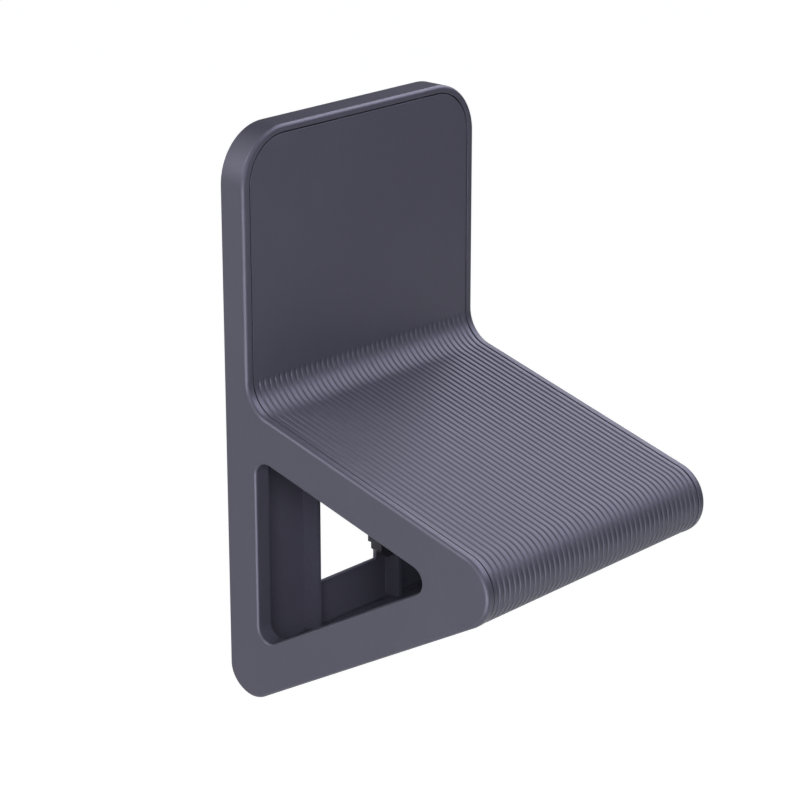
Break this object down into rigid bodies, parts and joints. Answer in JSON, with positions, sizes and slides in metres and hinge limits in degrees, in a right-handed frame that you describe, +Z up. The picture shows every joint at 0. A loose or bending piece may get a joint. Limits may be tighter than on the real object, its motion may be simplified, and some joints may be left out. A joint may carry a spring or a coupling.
{
  "type": "wall-mounted footstool",
  "caption": "Wall-hung footstool: an upright back runs through a fillet into a sloping ribbed tread between two cheeks with three-cornered windows; it lifts off a wall bracket",
  "frame": {"origin": "middle of the wall bracket's four holes, on the wall plane", "axes": "+Z up, -Y out from the wall towards the person, +X to the viewer's right"},
  "size_m": [0.228, 0.235, 0.4],
  "materials": {
    "shell": "fine moulded grain, slate",
    "panel": "fine moulded grain with satin rib tops, slate",
    "frame": "fine moulded grain, dark slate",
    "latch": "moulded grain, dark slate",
    "plate_steel": "zinc plated sheet",
    "screw_steel": "zinc plated",
    "pad": "soft matt elastomer"
  },
  "bodies": {
    "wall_bracket": {"wall_bracket": "plate_steel"},
    "stool": {"housing": "shell", "tread_panel": "panel", "rear_frame": "frame", "frame_screws": "screw_steel", "hook_plate": "plate_steel", "hook_screws": "screw_steel", "latch_screws": "screw_steel", "wall_pads": "pad"},
    "latch": {"latch_bar": "latch"}
  },
  "joints": [
    {"name": "lift_off", "type": "slide", "parent": "wall_bracket", "child": "stool", "axis": [0, 0, 1], "range_m": [0, 0.014]},
    {"name": "latch_slide", "type": "slide", "parent": "stool", "child": "latch", "axis": [0, 0, -1], "range_m": [0, 0.014]}
  ],
  "couplings": [
    {"joint": "latch_slide", "follows": "lift_off", "ratio": 1}
  ]
}
